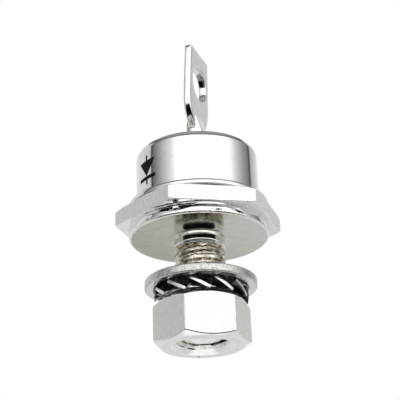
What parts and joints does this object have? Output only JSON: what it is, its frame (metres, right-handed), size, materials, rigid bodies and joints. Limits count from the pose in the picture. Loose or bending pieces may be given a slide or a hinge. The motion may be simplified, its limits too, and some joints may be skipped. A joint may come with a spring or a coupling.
{
  "type": "stud diode",
  "caption": "Plated metal stud rectifier diode: hexagon base with a threaded stud, welded can, glass-sealed flat lug with a hole, and its nut, lock washer and flat washer.",
  "frame": {"origin": "centre of the seat, on the face that is clamped to the heat sink", "axes": "+Z along the stud's axis from the stud towards the lug, +X through a corner of the hexagon, -Y square to a flat"},
  "size_m": [0.0198, 0.0172, 0.038],
  "materials": {
    "bright_nickel": "bright nickel plate, turned and polished",
    "satin_nickel": "satin nickel plate",
    "blackened_steel": "blackened spring steel, bright on its sheared edges",
    "plated_steel": "plated stamped steel",
    "seal_glass": "fused sealing glass",
    "bare_copper": "bare copper strip",
    "solder": "dull solder",
    "backing_metal": "bare molybdenum",
    "silicon": "lapped silicon",
    "silicone_rubber": "cured silicone rubber"
  },
  "bodies": {
    "root": {"stud_base": "bright_nickel", "weld_ring": "plated_steel", "cap": "bright_nickel", "glass_seal": "seal_glass", "terminal_lug": "satin_nickel", "inner_strap": "bare_copper", "strap_solder": "solder", "upper_disc": "backing_metal", "upper_solder": "solder", "silicon_die": "silicon", "die_coating": "silicone_rubber", "die_solder": "solder", "lower_disc": "backing_metal", "base_solder": "solder", "flat_washer": "plated_steel", "lock_washer": "blackened_steel", "hex_nut": "bright_nickel"}
  },
  "joints": []
}
